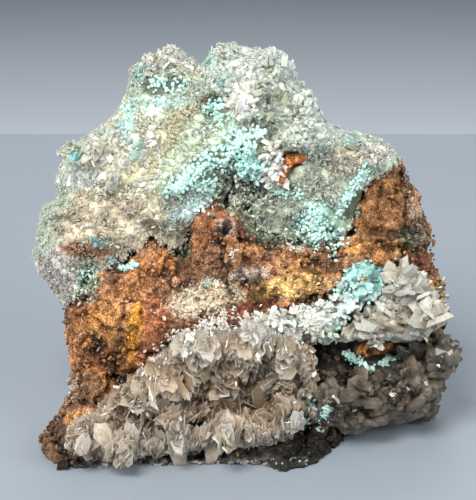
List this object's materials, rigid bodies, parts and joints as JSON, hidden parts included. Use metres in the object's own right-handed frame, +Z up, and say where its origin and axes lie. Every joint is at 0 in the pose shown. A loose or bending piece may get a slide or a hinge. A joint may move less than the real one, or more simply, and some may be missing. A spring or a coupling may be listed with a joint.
{
  "type": "mineral specimen",
  "caption": "Free-standing hand specimen of bladed hemimorphite crystals and a turquoise aurichalcite crust on a rusty limonite lump, to stand on a shelf or table.",
  "frame": {"origin": "on the flat broken base that the specimen stands on, under the middle of the lump", "axes": "+Z up from the base, +X to the right along the crystal face's width, +Y from the crystal face into the rock"},
  "size_m": [0.1098, 0.0703, 0.097],
  "materials": {
    "limonite": "earthy",
    "pale_crystal": "vitreous",
    "tan_crystal": "vitreous",
    "smoky_crystal": "vitreous",
    "clear_crystal": "vitreous",
    "turquoise": "matt",
    "red_limonite": "earthy"
  },
  "bodies": {
    "root": {"limonite_matrix": "limonite", "upper_hemimorphite": "pale_crystal", "tan_hemimorphite": "tan_crystal", "smoky_hemimorphite": "smoky_crystal", "ledge_hemimorphite": "clear_crystal", "aurichalcite_crust": "turquoise", "limonite_flake": "red_limonite"}
  },
  "joints": []
}
